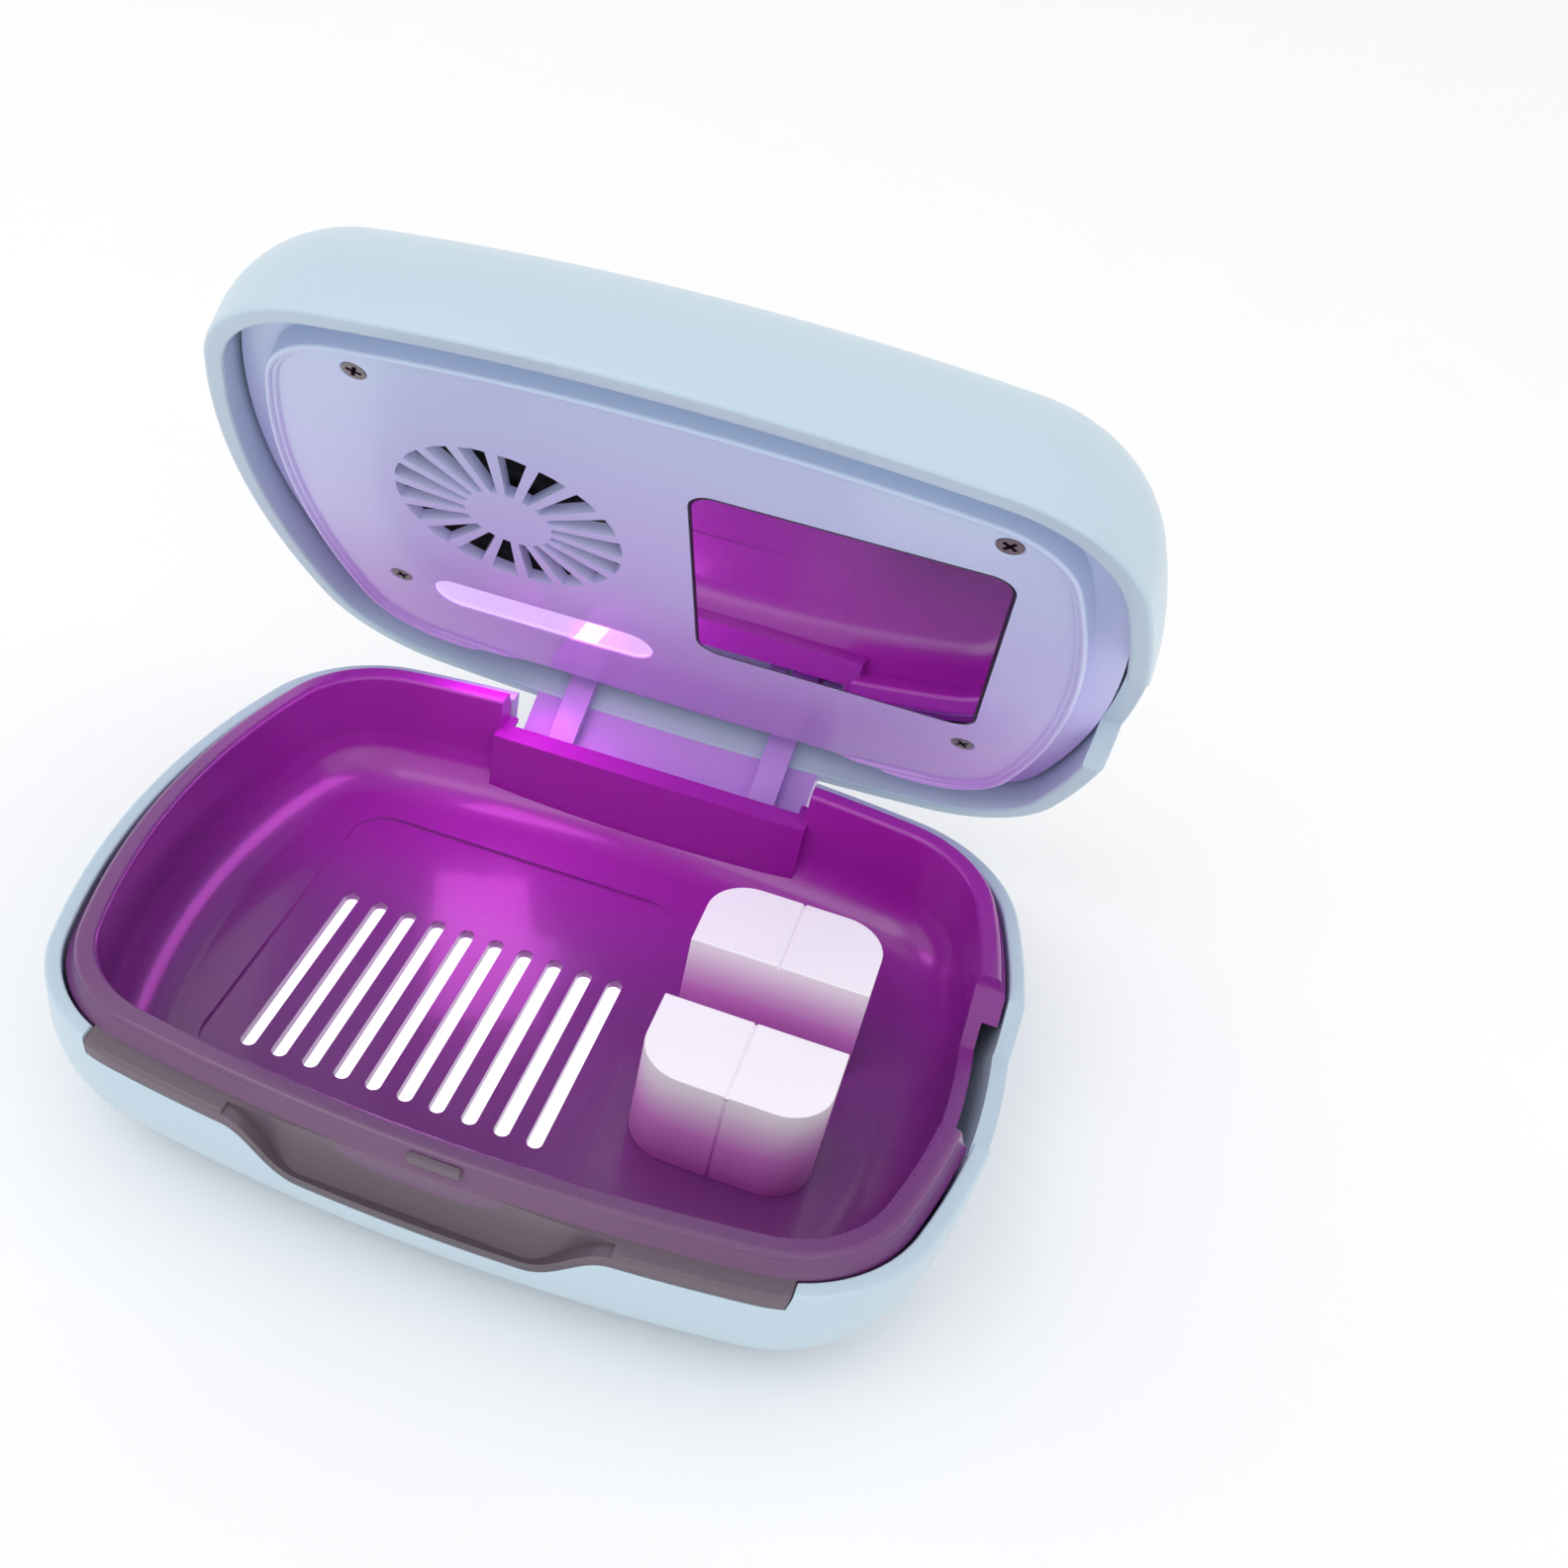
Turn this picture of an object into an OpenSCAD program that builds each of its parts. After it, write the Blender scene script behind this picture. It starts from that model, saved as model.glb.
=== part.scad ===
// Travel toothbrush sanitizer: a pebble-shaped case with a hinged lid.
// The base holds a smoke-tinted tray with drain slots and two soft grips
// for the neck of a brush. The lid holds a drying fan, a row of ultraviolet
// lamps, a mirror, a battery and a charging socket.
// Units are millimetres. The origin is the centre of the underside, where
// it stands; +X is the side the brush leaves by, -Y is the front.

/* [Case] */
// Overall length of the case
body_w = 110; // [90:1:130]
// Overall depth of the case, front to hinge
body_d = 86; // [75:1:100]
// Height of the base up to its rim
rim_z = 20.2; // [19.2:0.5:26]
// Height of the lid above its own rim
lid_h = 18; // [16:0.5:22]
// Wall of the base shell
base_wall = 1.9; // [1.6:0.1:2.4]
// Wall of the lid shell
lid_wall = 2.4; // [2:0.1:3]
// How far the lid stands open
open_angle = 57; // [0:1:57]

/* [Tray] */
// Depth of the tray floor below the rim
tray_depth = 13.7; // [10:0.1:14]
// Height of the tray lip above the rim
lip_h = 2; // [1:0.1:2.4]
// Number of drain slots
slot_count = 10; // [4:1:11]
// Width of one drain slot
slot_w = 1.9; // [1.2:0.1:2.4]
// Distance between drain slots
slot_pitch = 4.05; // [3.4:0.05:4.2]
// Length of one drain slot
slot_len = 30; // [16:1:34]

/* [Brush grips] */
// Length of a grip along the brush
grip_len = 21.8; // [16:0.1:24]
// Gap between the two grips
grip_gap = 10; // [8:0.5:12]
// Thickness of a grip across the brush
grip_t = 12.3; // [8:0.1:14]

/* [Fan] */
// Side of the square fan frame
fan_side = 30; // [28:1:32]
// Number of fan blades
blade_count = 9; // [5:1:11]
// Number of openings in the fan grille
grille_count = 18; // [10:1:24]

/* [Lamp] */
// Number of ultraviolet lamps in the row
lamp_count = 3; // [2:1:3]
// Distance between lamps
lamp_pitch = 8.4; // [7:0.1:9]

/* [Hidden] */
$fn = 64;
half_w = body_w / 2;
half_d = body_d / 2;
r_fb = 240;                         // bulge radius, front and back
r_lr = 95;                          // bulge radius, left and right
r_co = 19;                          // corner radius in plan
c_fb = half_d - r_fb;               // centre of the back bulge, in y
c_lr = half_w - r_lr;               // centre of the right bulge, in x
// the corner centre touches both bulges from inside
q_len = norm([c_lr, c_fb]);
q_a = (pow(r_fb - r_co, 2) - pow(r_lr - r_co, 2) + q_len * q_len) / (2 * q_len);
q_h = sqrt(pow(r_fb - r_co, 2) - q_a * q_a);
kx = q_a * c_lr / q_len - q_h * c_fb / q_len;
ky = c_fb - q_a * c_fb / q_len - q_h * c_lr / q_len;
ang_a = atan2(ky - c_fb, kx);
ang_b = atan2(ky, kx - c_lr);
lap = 0.04;                         // overlap of the outline arcs
slope = 0.12;                       // fall of the flat faces of a sweep
core = 16.8;                        // inset where sweeps meet the flat core
bot_r = 16;                         // rounding of the base underside
bot_c = bot_r;                      // centre height of that rounding
lid_r = 14;                         // rounding of the lid top
lid_c = rim_z + lid_h - lid_r;      // centre height of that rounding
lid_gap = 0.4;                      // parting line between base and lid
hinge_y = half_d - 2.6;
hinge_z = rim_z - 8.8;
arm_x = 14.6;                       // centre of each hinge arm
arm_w = 3.8;
pin_r = 1;
tray_z = rim_z - tray_depth;        // top of the tray floor
tray_t = 1.7;
tray_r = 7;                         // inner fillet of the tray
lip_in = 5.9;                       // inset of the tray lip, inner face
cover_w = 22;                       // half width of the hinge cover
cover_y = 34.4;                     // front face of the hinge cover
cut_w = 40.3;                       // half width of the front cut-out
scoop_d = 7.3;                      // depth of the thumb scoop edge
liner_in = 6.7;                     // inset of the liner bead
lz = rim_z;                         // lid rim plane, lid closed
liner_z = lz + 1.9;                 // visible face of the liner
liner_t = 1.5;
fan_x = -19.1;
fan_y = -6.1;
fan_r = 14.3;                       // bore of the fan frame
fan_z = liner_z + liner_t + 0.8;    // lower face of the fan frame
fan_t = 7.2;
lamp_x = -17.9;
lamp_y = 18.7;
lamp_half = 15.2;                   // half length of the lamp window
lamp_r = 3.4;
mir_x = 20.9;
mir_y = -4.5;
mir_w = 35.2;
mir_d = 37.4;
bat_x = 22;
bat_y = -6;
brd_z = lz + 7.2;                   // lower face of the control board
brd_x = -47;                        // line of the board posts
usb_y = -2;
screw_at = [[-33.2, -29.1], [36.4, -29.3], [37.8, 19.1], [-37.6, 17.6]];
post_at = [[-22, -27], [25, -24], [25, 24], [-22, 22]];

// ---- helpers -------------------------------------------------------

// Sweeps a profile round the pebble outline. The profile is drawn with
// x = distance in from the outline and y = height. The corners lap over
// the bulges by a hair so that the arcs join into one solid.
module sweep() {
  for (s = [0, 180]) rotate(s) {
    translate([0, c_fb, 0]) rotate(ang_a - 0.06)
      rotate_extrude(angle = 180.12 - 2 * ang_a)
        translate([r_fb - lap, 0]) mirror([1, 0]) children();
    translate([c_lr, 0, 0]) rotate(-ang_b - 0.15)
      rotate_extrude(angle = 2 * ang_b + 0.3)
        translate([r_lr - lap, 0]) mirror([1, 0]) children();
    translate([kx, ky, 0]) rotate(ang_b)
      rotate_extrude(angle = ang_a - ang_b)
        translate([r_co, 0]) mirror([1, 0]) children();
    translate([-kx, ky, 0]) rotate(180 - ang_a)
      rotate_extrude(angle = ang_a - ang_b)
        translate([r_co, 0]) mirror([1, 0]) children();
  }
}

// Flat plate filling the middle of the outline between two heights.
module core_plate(z0, z1, i = core)
  translate([0, 0, z0]) linear_extrude(z1 - z0) polygon(core_pts(i));

function core_pts(i) = concat(
  arc_pts([c_lr, 0], r_lr - i, -ang_b, ang_b, 8),
  arc_pts([kx, ky], r_co - i, ang_b, ang_a, 6),
  arc_pts([0, c_fb], r_fb - i, ang_a, 180 - ang_a, 10),
  arc_pts([-kx, ky], r_co - i, 180 - ang_a, 180 - ang_b, 6),
  arc_pts([-c_lr, 0], r_lr - i, 180 - ang_b, 180 + ang_b, 8),
  arc_pts([-kx, -ky], r_co - i, 180 + ang_b, 180 + ang_a, 6),
  arc_pts([0, -c_fb], r_fb - i, 180 + ang_a, 360 - ang_a, 10),
  arc_pts([kx, -ky], r_co - i, 360 - ang_a, 360 - ang_b, 6));

// Rounded rectangle plate, centred in plan.
module plate(w, d, r, h) {
  translate([-w / 2 + r, -d / 2, 0]) cube([w - 2 * r, d, h]);
  translate([-w / 2, -d / 2 + r, 0]) cube([w, d - 2 * r, h]);
  for (x = [-1, 1], y = [-1, 1])
    translate([x * (w / 2 - r), y * (d / 2 - r), 0]) cylinder(r = r, h = h);
}

// Stadium-shaped plate along X.
module stadium(half, r, h) {
  translate([-half + r, -r, 0]) cube([2 * (half - r), 2 * r, h]);
  for (x = [-1, 1]) translate([x * (half - r), 0, 0]) cylinder(r = r, h = h);
}

// Carries lid parts from the closed place to where the lid stands.
module lid_place()
  translate([0, hinge_y, hinge_z]) rotate([-open_angle, 0, 0])
    translate([0, -hinge_y, -hinge_z]) children();

// Edge of the front cut-out: a shallow step that dips for the thumb.
function dip(x) = abs(x) < 12.5 ? 1 : abs(x) > 21.5 ? 0
  : (1 + cos(20 * (abs(x) - 12.5))) / 2;
function cut_pts(g) = concat(
  [[cut_w - g, 6], [-cut_w + g, 6], [-cut_w + 1.4 + g * 0.85, -2.2 + g]],
  [for (x = [-21.5 : 1.5 : 21.5]) [x, -2.2 + g - (scoop_d - 2.2) * dip(x)]],
  [[cut_w - 1.4 - g * 0.85, -2.2 + g]]);
module cut_prism(g)
  translate([0, -half_d + 8, rim_z]) rotate([90, 0, 0])
    linear_extrude(20) polygon(cut_pts(g));

// Notch for the brush neck through the right-hand wall.
module notch(w, depth, up)
  translate([half_w - 12, 0, rim_z]) rotate([90, 0, 90])
    linear_extrude(20)
      polygon([[-w, up], [-w, 0], [-w + depth * 0.62, -depth],
               [w - depth * 0.62, -depth], [w, 0], [w, up]]);

// The same notch turned over for the lid.
module lid_notch(w, depth)
  translate([0, 0, 2 * rim_z + lid_gap]) mirror([0, 0, 1]) notch(w, depth, 4);

// Points along an arc of a profile.
function arc_pts(c, r, a0, a1, n) =
  [for (i = [0 : n]) let (a = a0 + (a1 - a0) * i / n) [c[0] + r * cos(a), c[1] + r * sin(a)]];

// Cross-section of a bowl wall between insets t0 and t1, rim at top.
function bowl_pts(t0, t1, top) = concat(
  [[t0, top]], arc_pts([bot_r, bot_c], bot_r - t0, 180, 270, 9),
  [[18, t0], [18, t1]],
  arc_pts([bot_r, bot_c], bot_r - t1, 270, 180, 9), [[t1, top - slope]]);

// Cross-section of the lid wall.
function dome_pts(t, low) = concat(
  [[0, low]], arc_pts([lid_r, lid_c], lid_r, 180, 90, 9),
  [[18, rim_z + lid_h], [18, rim_z + lid_h - t + slope]],
  arc_pts([lid_r, lid_c], lid_r - t, 90, 180, 9), [[t, low]]);

// Cross-section of the tray: lip, wall, fillet and floor.
function tray_pts() = concat(
  [[2.3, rim_z - 3.4], [2.3, rim_z - 0.4], [2.9, rim_z + 0.3],
   [3.5, rim_z + lip_h - 0.2], [3.9, rim_z + lip_h],
   [5.3, rim_z + lip_h], [lip_in, rim_z + lip_h - 0.6]],
  arc_pts([lip_in + tray_r, tray_z + tray_r], tray_r, 180, 270, 7),
  [[18, tray_z - slope], [18, tray_z - tray_t + 0.2]],
  arc_pts([lip_in + tray_r, tray_z + tray_r], tray_r + tray_t, 270, 180, 7),
  [[lip_in - tray_t, rim_z - 3.4]]);

// ---- base ----------------------------------------------------------

// Four ears that carry the hinge pin.
module ears()
  for (s = [-1, 1], o = [-3.9, 3.9]) translate([s * arm_x + o, hinge_y, hinge_z])
    rotate([0, 90, 0]) {
      translate([0, 0, -1.3]) cylinder(r = 2.1, h = 2.6);
      translate([0, -2.1, -1.3]) cube([4.6, 1.7, 2.6]);
    }

module base_shell() color([0.83, 0.92, 0.97]) difference() {
  union() {
    sweep() polygon(bowl_pts(0, base_wall, rim_z));
    core_plate(0, base_wall + 0.2);
    // posts that carry the tray
    for (p = post_at) translate([p[0], p[1], base_wall - 0.4])
      cylinder(r = 2.5, h = tray_z - tray_t - base_wall + 0.4);
    ears();
  }
  cut_prism(0);
  translate([0, 0, 0.3]) notch(12.1, 6.3, 4);
  // window in the rear wall for the hinge tab of the lid
  difference() {
    translate([-21.4, half_d - 5.4, hinge_z - 3.2]) cube([42.8, 10, 20]);
    ears();
  }
  // bores the hinge pin is pressed into
  translate([-21, hinge_y, hinge_z]) rotate([0, 90, 0]) cylinder(r = pin_r, h = 42);
}

module brush_tray() color([0.42, 0.2, 0.45, 0.75]) difference() {
  union() {
    sweep() polygon(tray_pts());
    core_plate(tray_z - tray_t, tray_z);
    front_band();
    hinge_cover();
    // snap rib on the front of the lip
    translate([1.6, -half_d + 3.2, rim_z + 0.95]) rotate([90, 0, 0]) stadium(3, 0.55, 0.62);
  }
  // room behind the hinge cover for the arms and ears
  translate([-cover_w + 1.6, cover_y + 1.6, 0])
    cube([2 * cover_w - 3.2, 20, rim_z - 2.7 - 1.4]);
  translate([-cover_w + 1.6, cover_y + 3.4, 0]) cube([2 * cover_w - 3.2, 20, rim_z + 6]);
  translate([-cover_w + 0.4, cover_y - 2, rim_z - 2.7]) cube([2 * cover_w - 0.8, 20, 12]);
  notch(12.6, 6.3, 4);
  // shallow panel that drains to the slots
  translate([-12.8, -0.5, tray_z - 0.45]) plate(46.2, 50, 5, 2);
  for (i = [0 : slot_count - 1])
    translate([-11.8 + (i - (slot_count - 1) / 2) * slot_pitch, -21.4 + slot_len / 2, 0])
      rotate(90) stadium(slot_len / 2, slot_w / 2, 20);
}

// Smoke band that shows through the front cut-out, with the thumb scoop.
module front_band() difference() {
  intersection() {
    sweep() polygon(concat([[5, rim_z - 0.3], [0, rim_z - 0.3]],
      arc_pts([bot_r, bot_c], bot_r, 180, 200, 2), [[5, rim_z - 9.7]]));
    cut_prism(0.15);
  }
  intersection() {
    cut_prism(1.5);
    translate([-24, 0, 0]) union() {
      translate([0, -half_d - 5.4, rim_z - 1.2]) rotate([0, 90, 0]) cylinder(r = 8, h = 48);
      translate([0, -half_d - 8, rim_z - 1.2]) cube([48, 10.6, 8]);
    }
    translate([-21.4, -half_d - 10, 0]) cube([42.8, 30, 40]);
  }
}

module hinge_cover() {
  translate([-cover_w, cover_y, tray_z + 0.4]) cube([2 * cover_w, 1.6, rim_z - 3.1 - tray_z]);
  translate([-cover_w, cover_y, rim_z - 4.1]) cube([2 * cover_w, 3.3, 1.4]);
}

module drip_plate() color([0.97, 0.97, 0.98])
  translate([-11.8, -5.6, base_wall + 0.2]) plate(50, 36, 4, 0.8);

module grip() difference() {
  union() {
    translate([15.1, grip_gap / 2, tray_z]) cube([grip_len, grip_t - 5.5, tray_depth]);
    translate([15.1 + 5.5, grip_gap / 2, tray_z]) cube([grip_len - 11, grip_t, tray_depth]);
    for (x = [15.1 + 5.5, 15.1 + grip_len - 5.5])
      translate([x, grip_gap / 2 + grip_t - 5.5, tray_z]) cylinder(r = 5.5, h = tray_depth);
  }
  // parting line across the middle
  translate([15.1 + grip_len / 2 - 0.15, grip_gap / 2 - 1, rim_z - 0.3]) cube([0.3, grip_t + 2, 1]);
  translate([15.1 + grip_len / 2 - 0.15, grip_gap / 2 + grip_t - 0.3, tray_z - 1])
    cube([0.3, 1, tray_depth + 2]);
}
module rear_grip() color([0.97, 0.95, 0.98]) grip();
module front_grip() color([0.97, 0.95, 0.98]) mirror([0, 1, 0]) grip();

module hinge_pin() color([0.75, 0.76, 0.78])
  translate([-20, hinge_y, hinge_z]) rotate([0, 90, 0]) cylinder(r = pin_r, h = 40);

module friction_washers() color([0.7, 0.7, 0.72])
  for (s = [-1, 1]) translate([s * arm_x + 2.02, hinge_y, hinge_z]) rotate([0, 90, 0])
    difference() {
      cylinder(r = 2, h = 0.5);
      translate([0, 0, -1]) cylinder(r = pin_r + 0.05, h = 3);
    }

// ---- lid -----------------------------------------------------------

// Tab that fills the rear window of the base, rounded out to clear the ears.
module hinge_tab() difference() {
  translate([0, c_fb, 0]) rotate(85.05) rotate_extrude(angle = 9.9)
    translate([r_fb, 0]) mirror([1, 0])
      polygon([[2.3, lz + 1.4], [0.12, lz + 1.4], [0.12, bot_c], [0.45, hinge_z + 1.6],
               [1.6, hinge_z + 1.6], [2.3, bot_c - 2]]);
  translate([-22, hinge_y, hinge_z]) rotate([0, 90, 0]) cylinder(r = 2.4, h = 44);
}

module lid_shell() color([0.82, 0.92, 0.96]) lid_place() difference() {
  union() {
    sweep() polygon(dome_pts(lid_wall, lz + lid_gap));
    core_plate(lz + lid_h - lid_wall - 0.2, lz + lid_h);
    // bosses for the liner screws
    for (p = screw_at) translate([p[0], p[1], liner_z + liner_t])
      cylinder(r = 2.6, h = lid_h - lid_wall - 3.4 + 0.6);
    // posts that press on the fan frame
    for (x = [-1, 1], y = [-1, 1])
      translate([fan_x + x * 12.6, fan_y + y * 12.6, fan_z + fan_t])
        cylinder(r = 1.6, h = lz + lid_h - lid_wall - fan_z - fan_t + 0.5);
    // posts that carry the control board
    for (y = [-12, 12]) translate([brd_x, usb_y + y, brd_z + 1])
      cylinder(r = 1.7, h = lz + lid_h - lid_wall - brd_z - 1 + 0.5);
    // hinge arms
    for (s = [-1, 1]) translate([s * arm_x - arm_w / 2, 0, 0]) {
      translate([0, hinge_y, hinge_z]) rotate([0, 90, 0]) cylinder(r = 2.1, h = arm_w);
      translate([0, hinge_y - 2.1, hinge_z]) cube([arm_w, 2.4, 19]);
    }
    hinge_tab();
  }
  lid_notch(12, 5);
  // groove that the tray rib snaps into
  translate([1.6, -half_d + lid_wall + 0.4, rim_z + 0.95]) rotate([90, 0, 0]) stadium(3.6, 0.9, 0.9);
  // pilot bores for the screws
  for (p = screw_at) translate([p[0], p[1], lz]) cylinder(r = 0.72, h = 10);
  for (y = [-12, 12]) translate([brd_x, usb_y + y, lz]) cylinder(r = 0.82, h = 12.5);
  // bore for the hinge pin
  for (s = [-1, 1]) translate([s * arm_x - 4, hinge_y, hinge_z]) rotate([0, 90, 0])
    cylinder(r = pin_r + 0.04, h = 8);
  // mouth of the charging socket
  translate([-half_w - 2, usb_y, brd_z + 2.63]) rotate([90, 0, 90]) stadium(4.9, 2, 8.5);
  // air intake over the fan
  for (i = [0 : 11]) translate([fan_x, fan_y, lz + lid_h - 4]) rotate(i * 30)
    translate([8.5, 0, 0]) stadium(3.6, 0.6, 8);
}

module lid_liner() color([0.72, 0.76, 0.9]) lid_place() difference() {
  union() {
    sweep() polygon([[liner_in, lz + 1.1], [liner_in, lz + 4.2], [2.9, lz + 4.2],
                     [2.9, lz + 5.4], [liner_in + 1.2, lz + 5.4], [liner_in + 1.2, liner_z],
                     [liner_in + 0.8, lz + 1.1]]);
    core_plate(liner_z, liner_z + liner_t, liner_in + 0.5);
    // collar round the lamp window
    translate([lamp_x, lamp_y, liner_z]) stadium(lamp_half + 1.4, lamp_r + 1.4, liner_t + 1.4);
  }
  // straight rear edge and room for the hinge arms
  translate([-60, 33.6, lz - 1]) cube([120, 20, 5.05]);
  for (s = [-1, 1]) translate([s * arm_x - arm_w / 2 - 0.4, hinge_y - 2.6, lz])
    cube([arm_w + 0.8, 8, 8]);
  for (p = screw_at) translate([p[0], p[1], liner_z - 1]) {
    cylinder(r = 0.85, h = 5);
    cylinder(r1 = 2.48, r2 = 0.85, h = 1.63);
  }
  // fan grille: wedge openings round a solid hub
  for (i = [0 : grille_count - 1]) translate([fan_x, fan_y, liner_z - 1])
    rotate(i * 360 / grille_count) linear_extrude(4)
      polygon([[5.4, -0.45], [13.9, -1.7], [13.9, 1.7], [5.4, 0.45]]);
  // lamp window seat
  translate([lamp_x, lamp_y, liner_z - 1]) stadium(lamp_half - 0.9, lamp_r - 0.9, 6);
  translate([lamp_x, lamp_y, liner_z - 1]) stadium(lamp_half, lamp_r, 2.2);
  // mirror seat
  translate([mir_x, mir_y, liner_z - 1]) plate(mir_w, mir_d, 3, 1.9);
}

module liner_screws() color([0.78, 0.78, 0.8]) lid_place()
  for (p = screw_at) translate([p[0], p[1], liner_z + 0.06]) difference() {
    union() {
      cylinder(r1 = 1.4, r2 = 0.7, h = 0.7);
      cylinder(r = 0.7, h = 7);
    }
    for (a = [0, 90]) rotate(a + 20) translate([-0.8, -0.14, -1]) cube([1.6, 0.28, 1.4]);
  }

module mirror_pane() color([0.8, 0.8, 0.85]) lid_place()
  translate([mir_x, mir_y, liner_z + 0.1]) plate(mir_w - 0.2, mir_d - 0.2, 2.9, 0.6);

module mirror_tape() color([0.2, 0.2, 0.2]) lid_place()
  translate([mir_x, mir_y, liner_z + 0.7]) plate(mir_w - 3, mir_d - 3, 2, 0.2);

module fan_gasket() color([0.15, 0.15, 0.16]) lid_place() difference() {
  translate([fan_x, fan_y, liner_z + liner_t]) plate(fan_side, fan_side, 2.5, 0.8);
  translate([fan_x, fan_y, liner_z]) cylinder(r = fan_r, h = 6);
}

module fan_frame() color([0.12, 0.12, 0.13]) lid_place() {
  difference() {
    translate([fan_x, fan_y, fan_z]) plate(fan_side, fan_side, 2.5, fan_t);
    translate([fan_x, fan_y, fan_z - 1]) cylinder(r = fan_r, h = fan_t + 2);
    for (x = [-1, 1]) translate([fan_x + x * 12, fan_y - x * 12, fan_z - 1])
      cylinder(r = 1.2, h = fan_t + 2);
  }
  // spider that carries the motor
  difference() {
    union() {
      translate([fan_x, fan_y, fan_z + fan_t - 1]) cylinder(r = 6.4, h = 1);
      for (a = [0, 120, 240]) translate([fan_x, fan_y, fan_z + fan_t - 1]) rotate(a + 45)
        translate([5, -0.9, 0]) cube([9.6, 1.8, 1]);
    }
    translate([fan_x, fan_y, fan_z]) cylinder(r = 1.95, h = fan_t + 2);
  }
}

module fan_bearing() color([0.7, 0.55, 0.3]) lid_place()
  translate([fan_x, fan_y, fan_z + 1.9]) difference() {
    cylinder(r = 1.95, h = fan_t - 1.9);
    translate([0, 0, -1]) cylinder(r = 0.8, h = fan_t);
  }

module fan_coil() color([0.72, 0.42, 0.2]) lid_place()
  translate([fan_x, fan_y, fan_z + 2.4]) difference() {
    union() {
      cylinder(r = 4.2, h = fan_t - 3.4);
      for (a = [0 : 90 : 270]) rotate(a) translate([0, -1.1, 0.4]) cube([4.9, 2.2, fan_t - 4.4]);
    }
    translate([0, 0, -1]) cylinder(r = 1.95, h = fan_t);
  }

module fan_rotor() color([0.14, 0.14, 0.15]) lid_place()
  translate([fan_x, fan_y, fan_z + 0.5]) difference() {
    union() {
      cylinder(r = 6.5, h = 5.1);
      for (i = [0 : blade_count - 1]) rotate(i * 360 / blade_count)
        translate([6, 0, 2.6]) rotate([38, 0, 0]) translate([0, -0.4, -2.9]) cube([7.4, 0.8, 5.8]);
    }
    translate([0, 0, 1]) cylinder(r = 5.5, h = 6);
    translate([0, 0, -1]) cylinder(r = 0.75, h = 4);
    translate([0, 0, 5.3]) cylinder(r = 20, h = 4);
    translate([0, 0, -4]) cylinder(r = 20, h = 4);
  }

module fan_axle() color([0.8, 0.8, 0.82]) lid_place()
  translate([fan_x, fan_y, fan_z + 0.6]) cylinder(r = 0.75, h = 5.6);

module lamp_window() color([0.93, 0.9, 1, 0.5]) lid_place()
  translate([lamp_x, lamp_y, liner_z + 0.15]) stadium(lamp_half - 0.1, lamp_r - 0.1, 1.05);

module lamp_board() color([0.2, 0.45, 0.3]) lid_place()
  translate([lamp_x, lamp_y, liner_z + liner_t + 1.4]) plate(2 * lamp_half + 1, 7.6, 0.8, 1);

module uv_lamps() color([0.95, 0.9, 0.98]) lid_place()
  for (i = [0 : lamp_count - 1])
    translate([lamp_x + (i - (lamp_count - 1) / 2) * lamp_pitch, lamp_y, liner_z + 1.5]) {
      translate([-1.75, -1.4, 0.2]) cube([3.5, 2.8, 1.2]);
      cylinder(r = 0.9, h = 0.3);
    }

module control_board() color([0.1, 0.35, 0.2]) lid_place()
  difference() {
    union() {
      translate([-43.2, usb_y, brd_z]) plate(13.6, 28, 1, 1);
      translate([-44.6, usb_y + 5.8, brd_z + 1]) cube([4, 4, 0.9]);
      translate([-41.6, usb_y - 9.6, brd_z + 1]) cube([3, 3, 1.1]);
      translate([-46, usb_y - 9.6, brd_z + 1]) cube([2.6, 3.4, 1.4]);
      translate([-44, usb_y - 2, brd_z - 1.2]) cube([5, 4, 1.21]);
    }
    for (y = [-12, 12]) translate([brd_x, usb_y + y, lz]) cylinder(r = 0.9, h = 20);
  }

module board_screws() color([0.78, 0.78, 0.8]) lid_place()
  for (y = [-12, 12]) translate([brd_x, usb_y + y, brd_z]) {
    translate([0, 0, -0.8]) cylinder(r = 1.5, h = 0.8);
    translate([0, 0, -0.4]) cylinder(r = 0.8, h = 5);
  }

module usb_socket() color([0.8, 0.81, 0.83]) lid_place()
  translate([-half_w + 2.2, usb_y, brd_z + 2.63]) rotate([90, 0, 90]) difference() {
    stadium(4.5, 1.63, 7.4);
    translate([0, 0, -1]) stadium(4.2, 1.33, 7.6);
  }

module usb_tongue() color([0.15, 0.15, 0.16]) lid_place()
  translate([-half_w + 2.8, usb_y - 3.2, brd_z + 2.28]) cube([6, 6.4, 0.7]);

module battery() color([0.75, 0.77, 0.8]) lid_place()
  translate([bat_x, bat_y, liner_z + liner_t + 0.4]) plate(34, 40, 1.5, 6.4);

module battery_tape() color([0.9, 0.85, 0.6]) lid_place()
  translate([bat_x, bat_y, liner_z + liner_t]) plate(26, 32, 1, 0.4);

// Insulated leads: straight runs with round elbows.
lead_r = 0.5;
module run(v)
  if (v[0] != 0) rotate([0, 90, 0]) cylinder(r = lead_r, h = v[0]);
  else if (v[1] != 0) rotate([-90, 0, 0]) cylinder(r = lead_r, h = v[1]);
  else cylinder(r = lead_r, h = v[2]);

module fan_leads() color([0.75, 0.15, 0.15]) lid_place()
  for (o = [0, 1.4]) translate([-39.5, 1 + o, brd_z + 1.5]) run([5.4, 0, 0]);

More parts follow.
